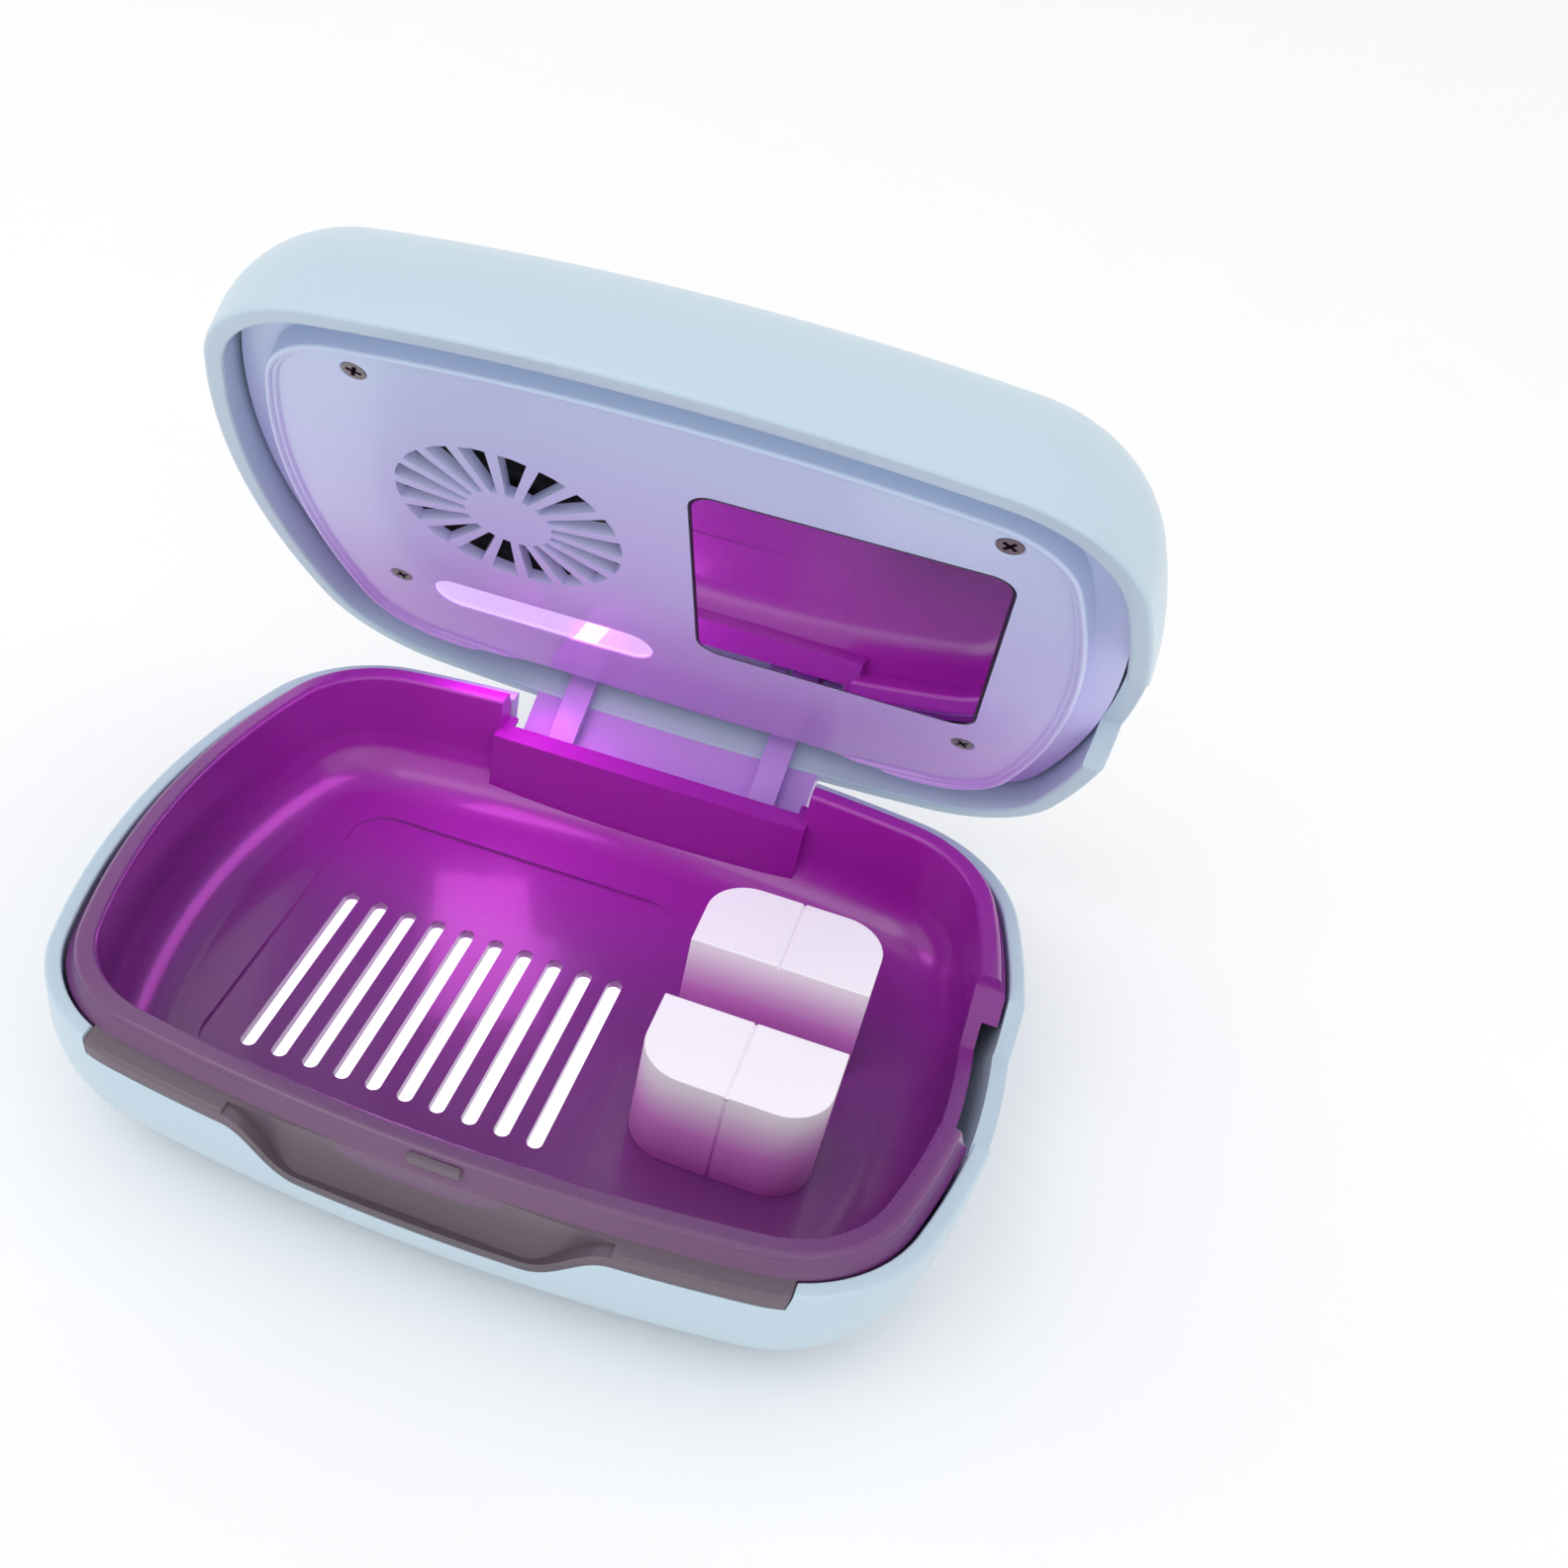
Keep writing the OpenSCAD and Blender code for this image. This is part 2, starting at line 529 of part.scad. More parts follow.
module lamp_leads() color([0.85, 0.85, 0.9]) lid_place()
  for (o = [0, 1.4]) translate([-32.6 + o, 11.8 - o, brd_z + 1.5]) {
    sphere(r = lead_r);
    translate([-6 - o, 0, 0]) run([6 + o, 0, 0]);
    run([0, 4.6 + o, 0]);
    translate([0, 4.6 + o, 0]) sphere(r = lead_r);
    translate([0, 4.6 + o, -2.88]) run([0, 0, 2.88]);
  }

module battery_leads() color([0.2, 0.2, 0.22]) lid_place()
  for (o = [0, 1.4]) translate([-38 - o, -23.2 - o, brd_z + 1.5]) {
    sphere(r = lead_r);
    run([42.98 + o, 0, 0]);
    run([0, 9.4 + o, 0]);
  }

base_shell();
brush_tray();
drip_plate();
front_grip();
rear_grip();
hinge_pin();
friction_washers();
lid_shell();
lid_liner();
liner_screws();
mirror_pane();
mirror_tape();
fan_gasket();
fan_frame();
fan_coil();
fan_bearing();
fan_rotor();
fan_axle();
lamp_window();
lamp_board();
uv_lamps();
control_board();
board_screws();
usb_socket();
usb_tongue();
battery();
battery_tape();
fan_leads();
lamp_leads();
battery_leads();
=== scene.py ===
import bpy, bmesh, math
from mathutils import Matrix, Vector


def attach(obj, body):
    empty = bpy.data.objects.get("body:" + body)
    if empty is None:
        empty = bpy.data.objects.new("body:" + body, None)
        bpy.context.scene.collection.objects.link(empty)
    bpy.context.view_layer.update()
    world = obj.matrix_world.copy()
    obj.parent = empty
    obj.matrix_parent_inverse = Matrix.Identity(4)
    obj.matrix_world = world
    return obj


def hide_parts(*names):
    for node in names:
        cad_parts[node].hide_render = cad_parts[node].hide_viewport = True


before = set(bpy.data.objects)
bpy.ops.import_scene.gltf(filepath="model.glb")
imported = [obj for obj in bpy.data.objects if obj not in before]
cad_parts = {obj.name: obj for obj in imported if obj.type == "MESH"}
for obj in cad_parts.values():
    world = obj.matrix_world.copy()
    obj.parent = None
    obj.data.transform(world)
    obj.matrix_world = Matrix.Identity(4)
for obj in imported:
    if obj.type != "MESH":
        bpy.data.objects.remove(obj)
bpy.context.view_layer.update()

# ---- sizes in millimetres, as in the frame ---------------------------
MM = 0.001
HW, HD = 55.0, 43.0              # half length and depth of the case
RFB, RLR, RCO = 240.0, 95.0, 19.0
CFB, CLR = HD - RFB, HW - RLR
RZ = 20.2                        # rim height
LID_H, LID_GAP, LID_WALL = 18.0, 0.4, 2.4
BOT_R, LID_R = 16, 14            # rounding of the underside and of the lid top
BASE_WALL = 1.9
CORE = 18                        # inset where the flat caps of a sweep begin
ARM_X, ARM_HALF = 14.6, 1.9      # hinge arms: place and half width
EAR_R, EAR_OFF, EAR_HALF = 2.1, 3.9, 1.3
COVER_HALF = 22                  # half width of the hinge cover
HY, HZ = HD - 2.6, RZ - 8.8      # hinge line
OPEN = math.radians(57)
FLOOR = RZ - 13.7                # tray floor
LINER = RZ + 1.9                 # visible face of the liner
LINER_T = 1.5
FAN = (-19.1, -6.1)
LAMP = (-17.9, 18.7)
MIRROR = (20.9, -4.5, 35.2, 37.4)
SCREWS = ((-33.2, -29.1), (36.4, -29.3), (37.8, 19.1), (-37.6, 17.6))

q = math.hypot(CLR, CFB)
qa = ((RFB - RCO) ** 2 - (RLR - RCO) ** 2 + q * q) / (2 * q)
qh = math.sqrt((RFB - RCO) ** 2 - qa * qa)
KX = qa * CLR / q - qh * CFB / q
KY = CFB - qa * CFB / q - qh * CLR / q
A = math.atan2(KY - CFB, KX)
B = math.atan2(KY, KX - CLR)

LID = (Matrix.Translation((0, HY * MM, HZ * MM)) @ Matrix.Rotation(-OPEN, 4, "X")
       @ Matrix.Translation((0, -HY * MM, -HZ * MM)))


# ---- mesh helpers ----------------------------------------------------
def outline(inset):
    """Points round the pebble outline at a distance in from it, anticlockwise."""
    pi = math.pi
    inset += 0.12                # keeps the skin inside the frame's box
    arcs = [((CLR, 0), RLR, -B, B, 20), ((KX, KY), RCO, B, A, 18),
            ((0, CFB), RFB, A, pi - A, 44), ((-KX, KY), RCO, pi - A, pi - B, 18),
            ((-CLR, 0), RLR, pi - B, pi + B, 20), ((-KX, -KY), RCO, pi + B, pi + A, 18),
            ((0, -CFB), RFB, pi + A, 2 * pi - A, 44), ((KX, -KY), RCO, 2 * pi - A, 2 * pi - B, 18)]
    pts = []
    for c, r, a0, a1, n in arcs:
        for i in range(n):
            a = a0 + (a1 - a0) * i / n
            pts.append((c[0] + (r - inset) * math.cos(a), c[1] + (r - inset) * math.sin(a)))
    return pts


def arc(cx, cz, r, a0, a1, n):
    """Profile points along an arc, angles in degrees."""
    return [(cx + r * math.cos(math.radians(a0 + (a1 - a0) * i / n)),
             cz + r * math.sin(math.radians(a0 + (a1 - a0) * i / n))) for i in range(n + 1)]


def put(name, bm, lid=False):
    """Turns a bmesh in millimetres into an object in the shared frame."""
    bmesh.ops.recalc_face_normals(bm, faces=bm.faces[:])
    me = bpy.data.meshes.new(name)
    bm.to_mesh(me)
    bm.free()
    me.transform(Matrix.Scale(MM, 4))
    if lid:
        me.transform(LID)
    ob = bpy.data.objects.new(name, me)
    bpy.context.scene.collection.objects.link(ob)
    return ob


def loft(profile, closed):
    """Sweeps a profile of (inset, z) round the outline. An open one is capped flat at both ends."""
    bm = bmesh.new()
    rings = [[bm.verts.new((x, y, z)) for x, y in outline(i)] for i, z in profile]
    n, m = len(rings[0]), len(rings)
    for k in range(m if closed else m - 1):
        a, b = rings[k], rings[(k + 1) % m]
        for j in range(n):
            bm.faces.new((a[j], a[(j + 1) % n], b[(j + 1) % n], b[j]))
    if not closed:
        bm.faces.new(rings[0])
        bm.faces.new(rings[-1])
    return bm


def prism(bm, pts, z0, z1, axis="z"):
    """Adds a prism of a polygon, along z, or along y or x for the other two planes."""
    def at(u, v, w):
        return {"z": (u, v, w), "y": (u, w, v), "x": (w, u, v)}[axis]
    lo = [bm.verts.new(at(u, v, z0)) for u, v in pts]
    hi = [bm.verts.new(at(u, v, z1)) for u, v in pts]
    n = len(pts)
    bm.faces.new(lo)
    bm.faces.new(hi[::-1])
    for i in range(n):
        bm.faces.new((lo[i], hi[i], hi[(i + 1) % n], lo[(i + 1) % n]))


def round_rect(cx, cy, w, d, r, n=8):
    pts = []
    for sx, sy, a in ((1, 1, 0), (-1, 1, 90), (-1, -1, 180), (1, -1, 270)):
        pts += [(cx + sx * (w / 2 - r) + r * math.cos(math.radians(a + 90 * i / n)),
                 cy + sy * (d / 2 - r) + r * math.sin(math.radians(a + 90 * i / n))) for i in range(n + 1)]
    return pts


def cone(bm, x, y, z0, r0, z1, r1, n=40):
    """Adds a closed round frustum."""
    a = [bm.verts.new((x + r0 * math.cos(2 * math.pi * i / n), y + r0 * math.sin(2 * math.pi * i / n), z0))
         for i in range(n)]
    b = [bm.verts.new((x + r1 * math.cos(2 * math.pi * i / n), y + r1 * math.sin(2 * math.pi * i / n), z1))
         for i in range(n)]
    bm.faces.new(a)
    bm.faces.new(b[::-1])
    for i in range(n):
        bm.faces.new((a[i], b[i], b[(i + 1) % n], a[(i + 1) % n]))


def cut(ob, cutter, how="DIFFERENCE"):
    """Applies a boolean and removes the cutter."""
    m = ob.modifiers.new("cut", "BOOLEAN")
    m.operation, m.solver, m.object = how, "EXACT", cutter
    bake(ob)
    bpy.data.objects.remove(cutter, do_unlink=True)


def bake(ob):
    dg = bpy.context.evaluated_depsgraph_get()
    me = bpy.data.meshes.new_from_object(ob.evaluated_get(dg))
    ob.modifiers.clear()
    ob.data = me


def finish_mesh(ob, bevel=0.0, angle=32):
    """Softens the cut edges and shades the rest smooth."""
    if bevel:
        m = ob.modifiers.new("edge", "BEVEL")
        m.width, m.segments, m.limit_method = bevel * MM, 2, "ANGLE"
        m.angle_limit, m.use_clamp_overlap = math.radians(40), True
        bake(ob)
    ob.data.shade_smooth()
    ob.data.set_sharp_from_angle(angle=math.radians(angle))
    m = ob.modifiers.new("flat", "WEIGHTED_NORMAL")
    m.keep_sharp = True
    bake(ob)


# ---- materials -------------------------------------------------------
def material(name, rough, metal=0.0, bump=0.02, grain=900.0, vary=0.04, coat=0.0, trans=0.0,
             ramp=None, axis=1, span=(0, 1), colour=(0.8, 0.8, 0.8), glow=None, sheen=0.0):
    """Procedural moulded or metal surface: colour with slow mottling, roughness and fine bump.
    ramp gives colours along one object axis, between two heights in metres."""
    mt = bpy.data.materials.new(name)
    mt.use_nodes = True
    nt = mt.node_tree
    b = nt.nodes["Principled BSDF"]
    new, link = nt.nodes.new, nt.links.new
    tc = new("ShaderNodeTexCoord")
    slow = new("ShaderNodeTexNoise")
    slow.inputs["Scale"].default_value = grain * 0.05
    slow.inputs["Detail"].default_value = 3
    fine = new("ShaderNodeTexNoise")
    fine.inputs["Scale"].default_value = grain
    fine.inputs["Detail"].default_value = 4
    for t in (slow, fine):
        link(tc.outputs["Object"], t.inputs["Vector"])
    base = new("ShaderNodeValToRGB")
    if ramp:
        sep = new("ShaderNodeSeparateXYZ")
        link(tc.outputs["Object"], sep.inputs[0])
        mr = new("ShaderNodeMapRange")
        mr.inputs["From Min"].default_value, mr.inputs["From Max"].default_value = span
        link(sep.outputs[axis], mr.inputs["Value"])
        link(mr.outputs["Result"], base.inputs["Fac"])
        e = base.color_ramp.elements
        while len(e) < len(ramp):
            e.new(0.5)
        for k, (p, c) in enumerate(ramp):
            e[k].position, e[k].color = p, (*c, 1)
    else:
        for k in (0, 1):
            base.color_ramp.elements[k].color = (*colour, 1)
    mot = new("ShaderNodeMapRange")
    mot.inputs["To Min"].default_value, mot.inputs["To Max"].default_value = 1 - vary, 1 + vary
    link(slow.outputs["Fac"], mot.inputs["Value"])
    mul = new("ShaderNodeMix")
    mul.data_type, mul.blend_type = "RGBA", "MULTIPLY"
    mul.inputs["Factor"].default_value = 1
    link(base.outputs["Color"], mul.inputs[6])
    link(mot.outputs["Result"], mul.inputs[7])
    link(mul.outputs[2], b.inputs["Base Color"])
    rr = new("ShaderNodeMapRange")
    rr.inputs["To Min"].default_value, rr.inputs["To Max"].default_value = rough - 0.04, rough + 0.06
    link(slow.outputs["Fac"], rr.inputs["Value"])
    link(rr.outputs["Result"], b.inputs["Roughness"])
    bp = new("ShaderNodeBump")
    bp.inputs["Strength"].default_value = bump
    bp.inputs["Distance"].default_value = 0.0002
    link(fine.outputs["Fac"], bp.inputs["Height"])
    link(bp.outputs["Normal"], b.inputs["Normal"])
    b.inputs["Metallic"].default_value = metal
    b.inputs["Coat Weight"].default_value = coat
    b.inputs["Coat Roughness"].default_value = 0.08
    b.inputs["Transmission Weight"].default_value = trans
    b.inputs["Sheen Weight"].default_value = sheen
    if glow:
        b.inputs["Emission Color"].default_value = (*glow[0], 1)
        b.inputs["Emission Strength"].default_value = glow[1]
    return mt


def lin(r, g, b):
    """sRGB 0-255 to linear."""
    f = lambda v: v / 12.92 if v <= 0.04045 else ((v + 0.055) / 1.055) ** 2.4
    return tuple(f(v / 255) for v in (r, g, b))


SHELL = material("shell_blue", 0.34, colour=lin(187, 208, 221), coat=0.25, bump=0.05, grain=2200, vary=0.015)
# the tray's ramp runs front to back; grey and purple smoke are its own colour, and the magenta towards the
# hinge end is painted glow of the UV lamp
TRAY = material("smoke_tray", 0.26, coat=0.35, bump=0.03, vary=0.06, axis=1, span=(-0.045, 0.036),
                ramp=[(0.0, lin(128, 106, 128)), (0.06, lin(108, 74, 110)), (0.16, lin(106, 46, 112)),
                      (0.6, lin(118, 40, 126)), (1.0, lin(164, 32, 168))])
# the dark stop low in the band's ramp is painted shade of the thumb scoop; the lighter ends are the band's
# own smoke colour
BAND = material("smoke_band", 0.34, coat=0.2, bump=0.03, vary=0.04, axis=2, span=(0.010, 0.0205),
                ramp=[(0.0, lin(124, 108, 122)), (0.25, lin(70, 57, 68)), (1.0, lin(104, 88, 102))])
# the plate under the floor slots glows: painted light, so the slots read bright white
WHITE = material("white_plate", 0.45, colour=(0.93, 0.93, 0.95), glow=((0.95, 0.93, 1.0), 1.15))
# the pads are white silicone; the magenta towards the bottom of the ramp is painted magenta light
GRIP = material("white_silicone", 0.5, axis=2, span=(0.0065, 0.0202), vary=0.03, bump=0.06, sheen=0.15,
                ramp=[(0.0, lin(176, 60, 172)), (0.45, lin(224, 136, 222)), (0.85, lin(248, 232, 248)),
                      (1.0, lin(253, 249, 254))])
# the liner is lavender; the purple at the low, hinge end of the ramp is painted magenta glow of the UV lamp
LINERM = material("liner_lavender", 0.3, coat=0.3, bump=0.04, grain=2000, vary=0.02, axis=2,
                  span=(0.030, 0.082), ramp=[(0.0, lin(200, 158, 232)), (0.35, lin(208, 205, 250)),
                                            (1.0, lin(194, 212, 238))])
MIRRORM = material("mirror", 0.02, metal=1.0, colour=(0.9, 0.9, 0.93), bump=0.0, vary=0.01)
# dark colour of the mirror's rim; the same material is painted shade in the screws' cross recesses
DARK_RIM_AND_RECESS_SHADE = material("mirror_edge_and_recess_shade", 0.35, colour=lin(34, 18, 42))
BLACK = material("fan_black", 0.5, colour=(0.035, 0.035, 0.04), bump=0.08)
FOAM = material("foam_black", 0.85, colour=(0.02, 0.02, 0.022), bump=0.4, grain=1500)
NICKEL = material("screw_nickel", 0.42, metal=0.8, colour=(0.3, 0.27, 0.26), bump=0.12, grain=5000, vary=0.12)
STEEL = material("pin_steel", 0.28, metal=1.0, colour=(0.66, 0.67, 0.69), bump=0.06, vary=0.06)
BRASS = material("bearing_brass", 0.3, metal=1.0, colour=(0.75, 0.55, 0.25))
COPPER = material("copper_wire", 0.35, metal=1.0, colour=(0.72, 0.33, 0.16), bump=0.25, grain=3000)
BOARD = material("board_green", 0.4, colour=(0.02, 0.16, 0.07), vary=0.12, bump=0.1)
FOIL = material("battery_foil", 0.35, metal=0.9, colour=(0.7, 0.71, 0.74), bump=0.2)
AMBER = material("tape_amber", 0.4, colour=(0.75, 0.5, 0.15))
LENS = material("lamp_lens", 0.25, colour=(0.95, 0.92, 1.0), trans=0.55, glow=((0.8, 0.6, 1.0), 0.35))
LED = material("lamp_white", 0.3, colour=(1, 1, 1), glow=((0.95, 0.8, 1.0), 6.0))
WIRES = {"fan_leads": material("lead_red", 0.45, colour=(0.5, 0.03, 0.03)),
         "lamp_leads": material("lead_white", 0.45, colour=(0.8, 0.8, 0.82)),
         "battery_leads": material("lead_black", 0.45, colour=(0.03, 0.03, 0.03))}


def wear(ob, mat, body, *nodes):
    ob.data.materials.clear()
    ob.data.materials.append(mat)
    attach(ob, body)
    if nodes:
        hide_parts(*nodes)
    return ob


# ---- base shell ------------------------------------------------------
def dip(x):
    x = abs(x)
    return 1.0 if x < 12.5 else 0.0 if x > 21.5 else (1 + math.cos(math.radians(20 * (x - 12.5)))) / 2


def front_cut(g, name):
    pts = [(-38.9 + g * 0.85, RZ - 2.2 + g)]
    pts += [(x, RZ - 2.2 + g - 5.1 * dip(x)) for x in [-21.5 + 0.5 * i for i in range(87)]]
    pts += [(38.9 - g * 0.85, RZ - 2.2 + g), (40.3 - g, RZ + 6), (-40.3 + g, RZ + 6)]
    bm = bmesh.new()
    prism(bm, pts, -55, -35, "y")
    return put(name, bm)


def notch(w, depth, up, flip=False, lid=False):
    pts = [(-w, up), (-w, 0), (-w + depth * 0.62, -depth), (w - depth * 0.62, -depth), (w, 0), (w, up)]
    z = RZ + (LID_GAP if flip else 0)
    s = -1 if flip else 1
    bm = bmesh.new()
    prism(bm, [(u, z + s * v) for u, v in pts], 43, 63, "x")
    return put("cutter", bm, lid)


base = put("base_shell_skin", loft(
    [(CORE, 0)] + arc(BOT_R, BOT_R, BOT_R, 270, 180, 22) + [(0, 18.2)]
    + arc(0.4, RZ - 0.4, 0.4, 180, 90, 4) + arc(1.6, RZ - 0.3, 0.3, 90, 0, 3)
    + [(BASE_WALL, BOT_R)] + arc(BOT_R, BOT_R, BOT_R - BASE_WALL, 180, 270, 16)
    + [(CORE, BASE_WALL)], False))
cut(base, front_cut(0, "cutter"))
cut(base, notch(12, 6, 4))
bm = bmesh.new()
prism(bm, [(-21.4, HZ - 3.2), (21.4, HZ - 3.2), (21.4, HZ + 17), (-21.4, HZ + 17)], HD - 5.4, HD + 5, "y")
cut(base, put("cutter", bm))
finish_mesh(base, 0.18)
wear(base, SHELL, "base", "base_shell")



def hinge_round(start):
    """Half circle round the hinge line, from an angle in radians."""
    return [(HY + EAR_R * math.cos(start + math.pi * i / 16), HZ + EAR_R * math.sin(start + math.pi * i / 16))
            for i in range(17)]


# ears that hold the hinge pin
for s in (-1, 1):
    for o in (-EAR_OFF, EAR_OFF):
        bm = bmesh.new()
        x0 = s * ARM_X + o - EAR_HALF
        foot = [(HY - EAR_R, HZ - 4.4), (HY + 0.3, HZ - 4.4)]
        prism(bm, hinge_round(0) + foot, x0, x0 + 2 * EAR_HALF, "x")
        ear = put("ear_%d_%d" % (s + 1, o > 0), bm)
        finish_mesh(ear, 0.12)
        wear(ear, SHELL, "base")

# ---- tray ------------------------------------------------------------
TOP = RZ + 2.0
tray = put("tray_skin", loft(
    [(18, FLOOR - 1.7)] + arc(12.9, FLOOR + 7, 8.7, 270, 180, 12)
    + [(4.2, RZ - 3.4), (2.3, RZ - 3.4), (2.3, RZ - 0.4), (2.9, RZ + 0.3), (3.3, RZ + 1.3)]
    + arc(4.0, TOP - 0.7, 0.7, 175, 90, 5) + arc(5.2, TOP - 0.7, 0.7, 90, 5, 5)
    + arc(12.9, FLOOR + 7, 7, 180, 270, 14) + [(18, FLOOR)], False))
cut(tray, notch(12.6, 6.3, 4))
bm = bmesh.new()
prism(bm, [(-21.6, RZ - 2.7), (21.6, RZ - 2.7), (21.6, RZ + 9), (-21.6, RZ + 9)], 32.4, 52, "y")
cut(tray, put("cutter", bm))
bm = bmesh.new()
prism(bm, [(-20.4, -1), (20.4, -1), (20.4, RZ + 6), (-20.4, RZ + 6)], 36.0, 56, "y")
cut(tray, put("cutter", bm))
bm = bmesh.new()
prism(bm, round_rect(-12.8, -0.5, 46.2, 50, 5), FLOOR - 0.45, FLOOR + 2)
cut(tray, put("cutter", bm))
bm = bmesh.new()
for i in range(10):
    prism(bm, round_rect(-11.8 + (i - 4.5) * 4.05, -6.4, 1.9, 30, 0.94, 6), 2, FLOOR + 4)
cut(tray, put("cutter", bm))
bm = bmesh.new()
prism(bm, [(34.4, FLOOR + 0.4), (36.05, FLOOR + 0.4), (36.05, RZ - 4.1), (37.7, RZ - 4.1), (37.7, RZ - 2.72),
           (34.4, RZ - 2.72)], -COVER_HALF, COVER_HALF, "x")
cut(tray, put("cover", bm), "UNION")
finish_mesh(tray, 0.2)
wear(tray, TRAY, "base", "brush_tray")

# smoke band in the front cut-out, with the scoop for a thumb
band = put("front_band", loft(
    [(5, RZ - 9.7)] + arc(16, 16, 16, 200, 180, 8) + [(0, RZ - 0.9)]
    + arc(0.5, RZ - 0.8, 0.5, 180, 90, 4) + [(5, RZ - 0.3)], True))
cut(band, front_cut(0.15, "cutter"), "INTERSECT")
scoop = bmesh.new()
prof = [(-HD - 5.4 + 8 * math.cos(t), RZ - 1.2 + 8 * math.sin(t))
        for t in [math.radians(-90 + 90 * i / 24) for i in range(25)]]
prism(scoop, prof + [(-HD + 2.6, RZ + 7), (-HD - 9, RZ + 7), (-HD - 9, RZ - 9.2)], -21.4, 21.4, "x")
sc = put("cutter", scoop)
keep = front_cut(1.5, "keep")
m = sc.modifiers.new("i", "BOOLEAN")
m.operation, m.solver, m.object = "INTERSECT", "EXACT", keep
bake(sc)
bpy.data.objects.remove(keep, do_unlink=True)
cut(band, sc)
finish_mesh(band, 0.15)
wear(band, BAND, "base")

bm = bmesh.new()
prism(bm, [(1.6 + u, RZ + 0.95 + v) for u, v in round_rect(0, 0, 6, 1.1, 0.54, 6)], -HD + 2.6, -HD + 3.4, "y")
rib = put("snap_rib", bm)
finish_mesh(rib, 0.1)
wear(rib, BAND, "base")

# ---- grips -----------------------------------------------------------
for node, s in (("front_grip", -1), ("rear_grip", 1)):
    bm = bmesh.new()
    r, x0, x1, y0, y1 = 5.5, 15.1, 36.9, 5.0, 17.3
    foot = [(x0, y0), (x1, y0)]
    turn = [math.pi / 2 * i / 10 for i in range(11)]
    foot += [(x1 - r + r * math.cos(t), y1 - r + r * math.sin(t)) for t in turn]
    foot += [(x0 + r - r * math.sin(t), y1 - r + r * math.cos(t)) for t in turn]
    prism(bm, [(x, s * y) for x, y in foot], FLOOR, RZ)
    g = put(node + "_pad", bm)
    finish_mesh(g)
    bm = bmesh.new()
    prism(bm, [(25.85, s * 4), (26.15, s * 4), (26.15, s * 18.4), (25.85, s * 18.4)], RZ - 0.3, RZ + 1)
    prism(bm, [(25.85, s * 17.0), (26.15, s * 17.0), (26.15, s * 18.4), (25.85, s * 18.4)],
          FLOOR - 1, RZ - 0.5)
    cut(g, put("cutter", bm))
    finish_mesh(g, 0.7)
    wear(g, GRIP, "base", node)

# ---- lid shell -------------------------------------------------------
LC = RZ + LID_H - LID_R           # centre height of the lid rounding
lid = put("lid_shell_skin", loft(
    [(18, RZ + LID_H - LID_WALL)] + arc(LID_R, LC, LID_R - LID_WALL, 90, 180, 14)
    + arc(LID_WALL - 0.4, RZ + LID_GAP + 0.4, 0.4, 0, -90, 3) + arc(0.5, RZ + LID_GAP + 0.5, 0.5, 270, 180, 4)
    + arc(LID_R, LC, LID_R, 180, 90, 22) + [(18, RZ + LID_H)], False), True)
cut(lid, notch(12, 5, 4, True, True))
bm = bmesh.new()
for i in range(12):
    a = math.radians(i * 30)
    pts = [(FAN[0] + u * math.cos(a) - v * math.sin(a), FAN[1] + u * math.sin(a) + v * math.cos(a))
           for u, v in round_rect(8.5, 0, 7.2, 1.2, 0.59, 6)]
    prism(bm, pts, RZ + LID_H - 4, RZ + LID_H + 4)
cut(lid, put("cutter", bm, True))
bm = bmesh.new()
prism(bm, [(-2 + u, RZ + 9.83 + v) for u, v in round_rect(0, 0, 9.8, 4, 1.98, 8)], -57, -48.5, "x")
cut(lid, put("cutter", bm, True))
finish_mesh(lid, 0.18)
wear(lid, SHELL, "lid", "lid_shell")

bm = bmesh.new()
for s in (-1, 1):
    x0 = s * ARM_X - ARM_HALF
    top = [(HY + 0.3, HZ + 14), (HY - EAR_R, HZ + 14)]
    prism(bm, hinge_round(math.pi) + top, x0, x0 + 2 * ARM_HALF, "x")
arms = put("hinge_arms", bm, True)
finish_mesh(arms, 0.15)
wear(arms, LINERM, "lid")

bm = bmesh.new()
n = 30
rows = [(2.3, RZ + 1.4), (0.12, RZ + 1.4), (0.12, BOT_R), (0.45, HZ + 1.6), (1.6, HZ + 1.6), (2.3, BOT_R - 2)]
ring = [[bm.verts.new(((RFB - i) * math.cos(math.radians(85.05 + 9.9 * k / n)),
                       CFB + (RFB - i) * math.sin(math.radians(85.05 + 9.9 * k / n)), z)) for i, z in rows]
        for k in range(n + 1)]
for k in range(n):
    for j in range(len(rows)):
        jj = (j + 1) % len(rows)
        bm.faces.new((ring[k][j], ring[k][jj], ring[k + 1][jj], ring[k + 1][j]))
bm.faces.new(ring[0])
bm.faces.new(ring[-1])
tab = put("hinge_tab", bm, True)
bm = bmesh.new()
prism(bm, [(HY + 2.4 * math.cos(2 * math.pi * i / 48), HZ + 2.4 * math.sin(2 * math.pi * i / 48))
           for i in range(48)], -COVER_HALF, COVER_HALF, "x")
cut(tab, put("cutter", bm, True))
finish_mesh(tab, 0.1)
# the tab is part of the lid shell but wears the liner's ramp, whose low end is painted magenta glow
wear(tab, LINERM, "lid")

